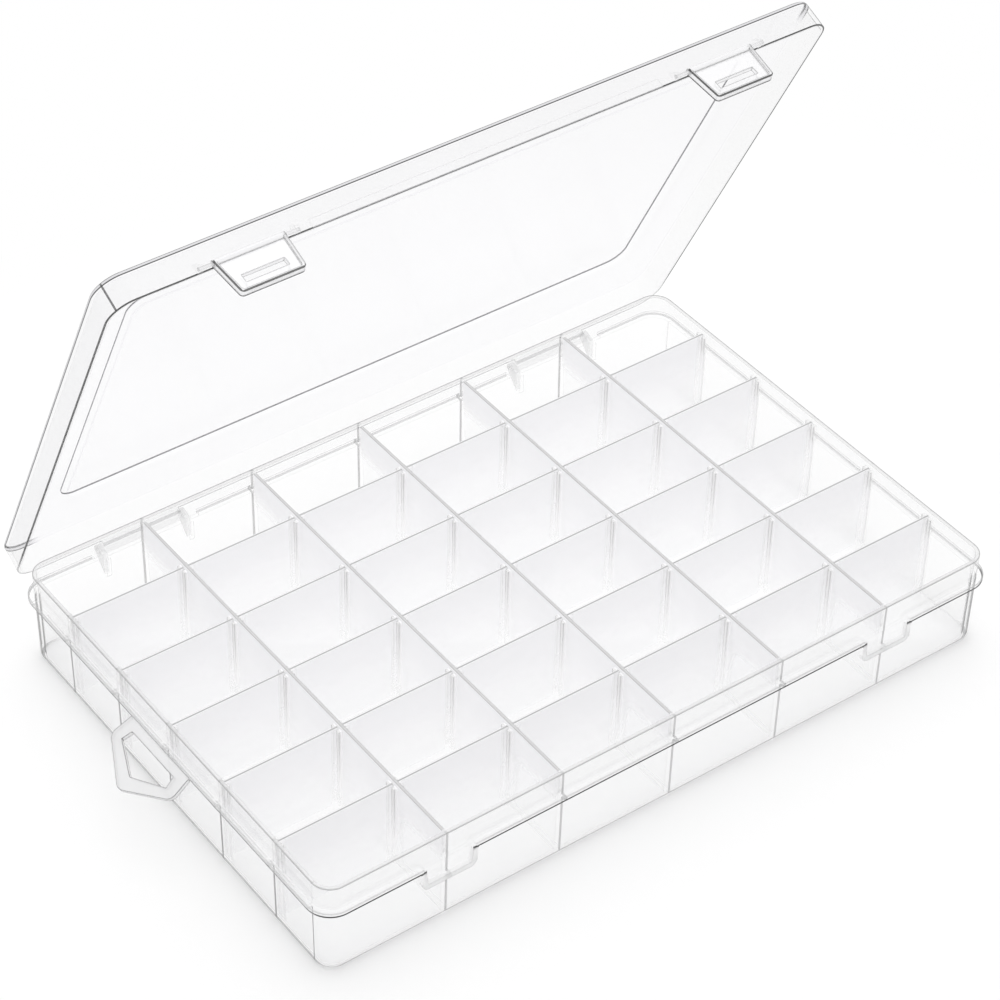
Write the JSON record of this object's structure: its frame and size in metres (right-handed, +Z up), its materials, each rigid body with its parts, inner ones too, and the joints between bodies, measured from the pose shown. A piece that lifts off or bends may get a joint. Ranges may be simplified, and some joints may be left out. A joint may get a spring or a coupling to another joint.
{
  "type": "compartment organizer box",
  "caption": "Clear plastic organizer box with removable dividers, a hinged lid, two snap latches and a hang loop, for beads and other small parts.",
  "frame": {"origin": "centre of the tray's underside, where the box stands", "axes": "+X along the box, +Y from the latches to the hinges, +Z up"},
  "size_m": [0.293, 0.1969, 0.1999],
  "materials": {
    "clear_tray": "clear moulded",
    "clear_lid": "clear moulded",
    "clear_fittings": "clear moulded",
    "clear_dividers": "clear moulded"
  },
  "bodies": {
    "tray": {"tray": "clear_tray"},
    "lid": {"lid": "clear_lid"},
    "latch_left": {"latch_left": "clear_fittings"},
    "latch_right": {"latch_right": "clear_fittings"},
    "hang_loop": {"hang_loop": "clear_fittings"},
    "divider_column1_row1": {"divider_column1_row1": "clear_dividers"},
    "divider_column1_row2": {"divider_column1_row2": "clear_dividers"},
    "divider_column1_row3": {"divider_column1_row3": "clear_dividers"},
    "divider_column1_row4": {"divider_column1_row4": "clear_dividers"},
    "divider_column1_row5": {"divider_column1_row5": "clear_dividers"},
    "divider_column2_row1": {"divider_column2_row1": "clear_dividers"},
    "divider_column2_row2": {"divider_column2_row2": "clear_dividers"},
    "divider_column2_row3": {"divider_column2_row3": "clear_dividers"},
    "divider_column2_row4": {"divider_column2_row4": "clear_dividers"},
    "divider_column2_row5": {"divider_column2_row5": "clear_dividers"},
    "divider_column3_row1": {"divider_column3_row1": "clear_dividers"},
    "divider_column3_row2": {"divider_column3_row2": "clear_dividers"},
    "divider_column3_row3": {"divider_column3_row3": "clear_dividers"},
    "divider_column3_row4": {"divider_column3_row4": "clear_dividers"},
    "divider_column3_row5": {"divider_column3_row5": "clear_dividers"},
    "divider_column4_row1": {"divider_column4_row1": "clear_dividers"},
    "divider_column4_row2": {"divider_column4_row2": "clear_dividers"},
    "divider_column4_row3": {"divider_column4_row3": "clear_dividers"},
    "divider_column4_row4": {"divider_column4_row4": "clear_dividers"},
    "divider_column4_row5": {"divider_column4_row5": "clear_dividers"},
    "divider_column5_row1": {"divider_column5_row1": "clear_dividers"},
    "divider_column5_row2": {"divider_column5_row2": "clear_dividers"},
    "divider_column5_row3": {"divider_column5_row3": "clear_dividers"},
    "divider_column5_row4": {"divider_column5_row4": "clear_dividers"},
    "divider_column5_row5": {"divider_column5_row5": "clear_dividers"},
    "divider_column6_row1": {"divider_column6_row1": "clear_dividers"},
    "divider_column6_row2": {"divider_column6_row2": "clear_dividers"},
    "divider_column6_row3": {"divider_column6_row3": "clear_dividers"},
    "divider_column6_row4": {"divider_column6_row4": "clear_dividers"},
    "divider_column6_row5": {"divider_column6_row5": "clear_dividers"}
  },
  "joints": [
    {"name": "lid_hinge", "type": "hinge", "parent": "tray", "child": "lid", "pos_m": [0, 0.0948, 0.0268], "axis": [-1, 0, 0], "range_deg": [-64, 116]},
    {"name": "latch_left_hinge", "type": "hinge", "parent": "lid", "child": "latch_left", "pos_m": [-0.09, 0.01379, 0.19791], "axis": [-1, 0, 0], "range_deg": [-13, 87]},
    {"name": "latch_right_hinge", "type": "hinge", "parent": "lid", "child": "latch_right", "pos_m": [0.09, 0.01379, 0.19791], "axis": [-1, 0, 0], "range_deg": [-13, 87]},
    {"name": "hang_loop_fold", "type": "hinge", "parent": "tray", "child": "hang_loop", "pos_m": [-0.13905, 0, 0.02735], "axis": [0, 1, 0], "range_deg": [-60, 30]},
    {"name": "divider_column1_row1_lift", "type": "slide", "parent": "tray", "child": "divider_column1_row1", "axis": [0, 0, 1], "range_m": [0, 0.04]},
    {"name": "divider_column1_row2_lift", "type": "slide", "parent": "tray", "child": "divider_column1_row2", "axis": [0, 0, 1], "range_m": [0, 0.04]},
    {"name": "divider_column1_row3_lift", "type": "slide", "parent": "tray", "child": "divider_column1_row3", "axis": [0, 0, 1], "range_m": [0, 0.04]},
    {"name": "divider_column1_row4_lift", "type": "slide", "parent": "tray", "child": "divider_column1_row4", "axis": [0, 0, 1], "range_m": [0, 0.04]},
    {"name": "divider_column1_row5_lift", "type": "slide", "parent": "tray", "child": "divider_column1_row5", "axis": [0, 0, 1], "range_m": [0, 0.04]},
    {"name": "divider_column2_row1_lift", "type": "slide", "parent": "tray", "child": "divider_column2_row1", "axis": [0, 0, 1], "range_m": [0, 0.04]},
    {"name": "divider_column2_row2_lift", "type": "slide", "parent": "tray", "child": "divider_column2_row2", "axis": [0, 0, 1], "range_m": [0, 0.04]},
    {"name": "divider_column2_row3_lift", "type": "slide", "parent": "tray", "child": "divider_column2_row3", "axis": [0, 0, 1], "range_m": [0, 0.04]},
    {"name": "divider_column2_row4_lift", "type": "slide", "parent": "tray", "child": "divider_column2_row4", "axis": [0, 0, 1], "range_m": [0, 0.04]},
    {"name": "divider_column2_row5_lift", "type": "slide", "parent": "tray", "child": "divider_column2_row5", "axis": [0, 0, 1], "range_m": [0, 0.04]},
    {"name": "divider_column3_row1_lift", "type": "slide", "parent": "tray", "child": "divider_column3_row1", "axis": [0, 0, 1], "range_m": [0, 0.04]},
    {"name": "divider_column3_row2_lift", "type": "slide", "parent": "tray", "child": "divider_column3_row2", "axis": [0, 0, 1], "range_m": [0, 0.04]},
    {"name": "divider_column3_row3_lift", "type": "slide", "parent": "tray", "child": "divider_column3_row3", "axis": [0, 0, 1], "range_m": [0, 0.04]},
    {"name": "divider_column3_row4_lift", "type": "slide", "parent": "tray", "child": "divider_column3_row4", "axis": [0, 0, 1], "range_m": [0, 0.04]},
    {"name": "divider_column3_row5_lift", "type": "slide", "parent": "tray", "child": "divider_column3_row5", "axis": [0, 0, 1], "range_m": [0, 0.04]},
    {"name": "divider_column4_row1_lift", "type": "slide", "parent": "tray", "child": "divider_column4_row1", "axis": [0, 0, 1], "range_m": [0, 0.04]},
    {"name": "divider_column4_row2_lift", "type": "slide", "parent": "tray", "child": "divider_column4_row2", "axis": [0, 0, 1], "range_m": [0, 0.04]},
    {"name": "divider_column4_row3_lift", "type": "slide", "parent": "tray", "child": "divider_column4_row3", "axis": [0, 0, 1], "range_m": [0, 0.04]},
    {"name": "divider_column4_row4_lift", "type": "slide", "parent": "tray", "child": "divider_column4_row4", "axis": [0, 0, 1], "range_m": [0, 0.04]},
    {"name": "divider_column4_row5_lift", "type": "slide", "parent": "tray", "child": "divider_column4_row5", "axis": [0, 0, 1], "range_m": [0, 0.04]},
    {"name": "divider_column5_row1_lift", "type": "slide", "parent": "tray", "child": "divider_column5_row1", "axis": [0, 0, 1], "range_m": [0, 0.04]},
    {"name": "divider_column5_row2_lift", "type": "slide", "parent": "tray", "child": "divider_column5_row2", "axis": [0, 0, 1], "range_m": [0, 0.04]},
    {"name": "divider_column5_row3_lift", "type": "slide", "parent": "tray", "child": "divider_column5_row3", "axis": [0, 0, 1], "range_m": [0, 0.04]},
    {"name": "divider_column5_row4_lift", "type": "slide", "parent": "tray", "child": "divider_column5_row4", "axis": [0, 0, 1], "range_m": [0, 0.04]},
    {"name": "divider_column5_row5_lift", "type": "slide", "parent": "tray", "child": "divider_column5_row5", "axis": [0, 0, 1], "range_m": [0, 0.04]},
    {"name": "divider_column6_row1_lift", "type": "slide", "parent": "tray", "child": "divider_column6_row1", "axis": [0, 0, 1], "range_m": [0, 0.04]},
    {"name": "divider_column6_row2_lift", "type": "slide", "parent": "tray", "child": "divider_column6_row2", "axis": [0, 0, 1], "range_m": [0, 0.04]},
    {"name": "divider_column6_row3_lift", "type": "slide", "parent": "tray", "child": "divider_column6_row3", "axis": [0, 0, 1], "range_m": [0, 0.04]},
    {"name": "divider_column6_row4_lift", "type": "slide", "parent": "tray", "child": "divider_column6_row4", "axis": [0, 0, 1], "range_m": [0, 0.04]},
    {"name": "divider_column6_row5_lift", "type": "slide", "parent": "tray", "child": "divider_column6_row5", "axis": [0, 0, 1], "range_m": [0, 0.04]}
  ]
}
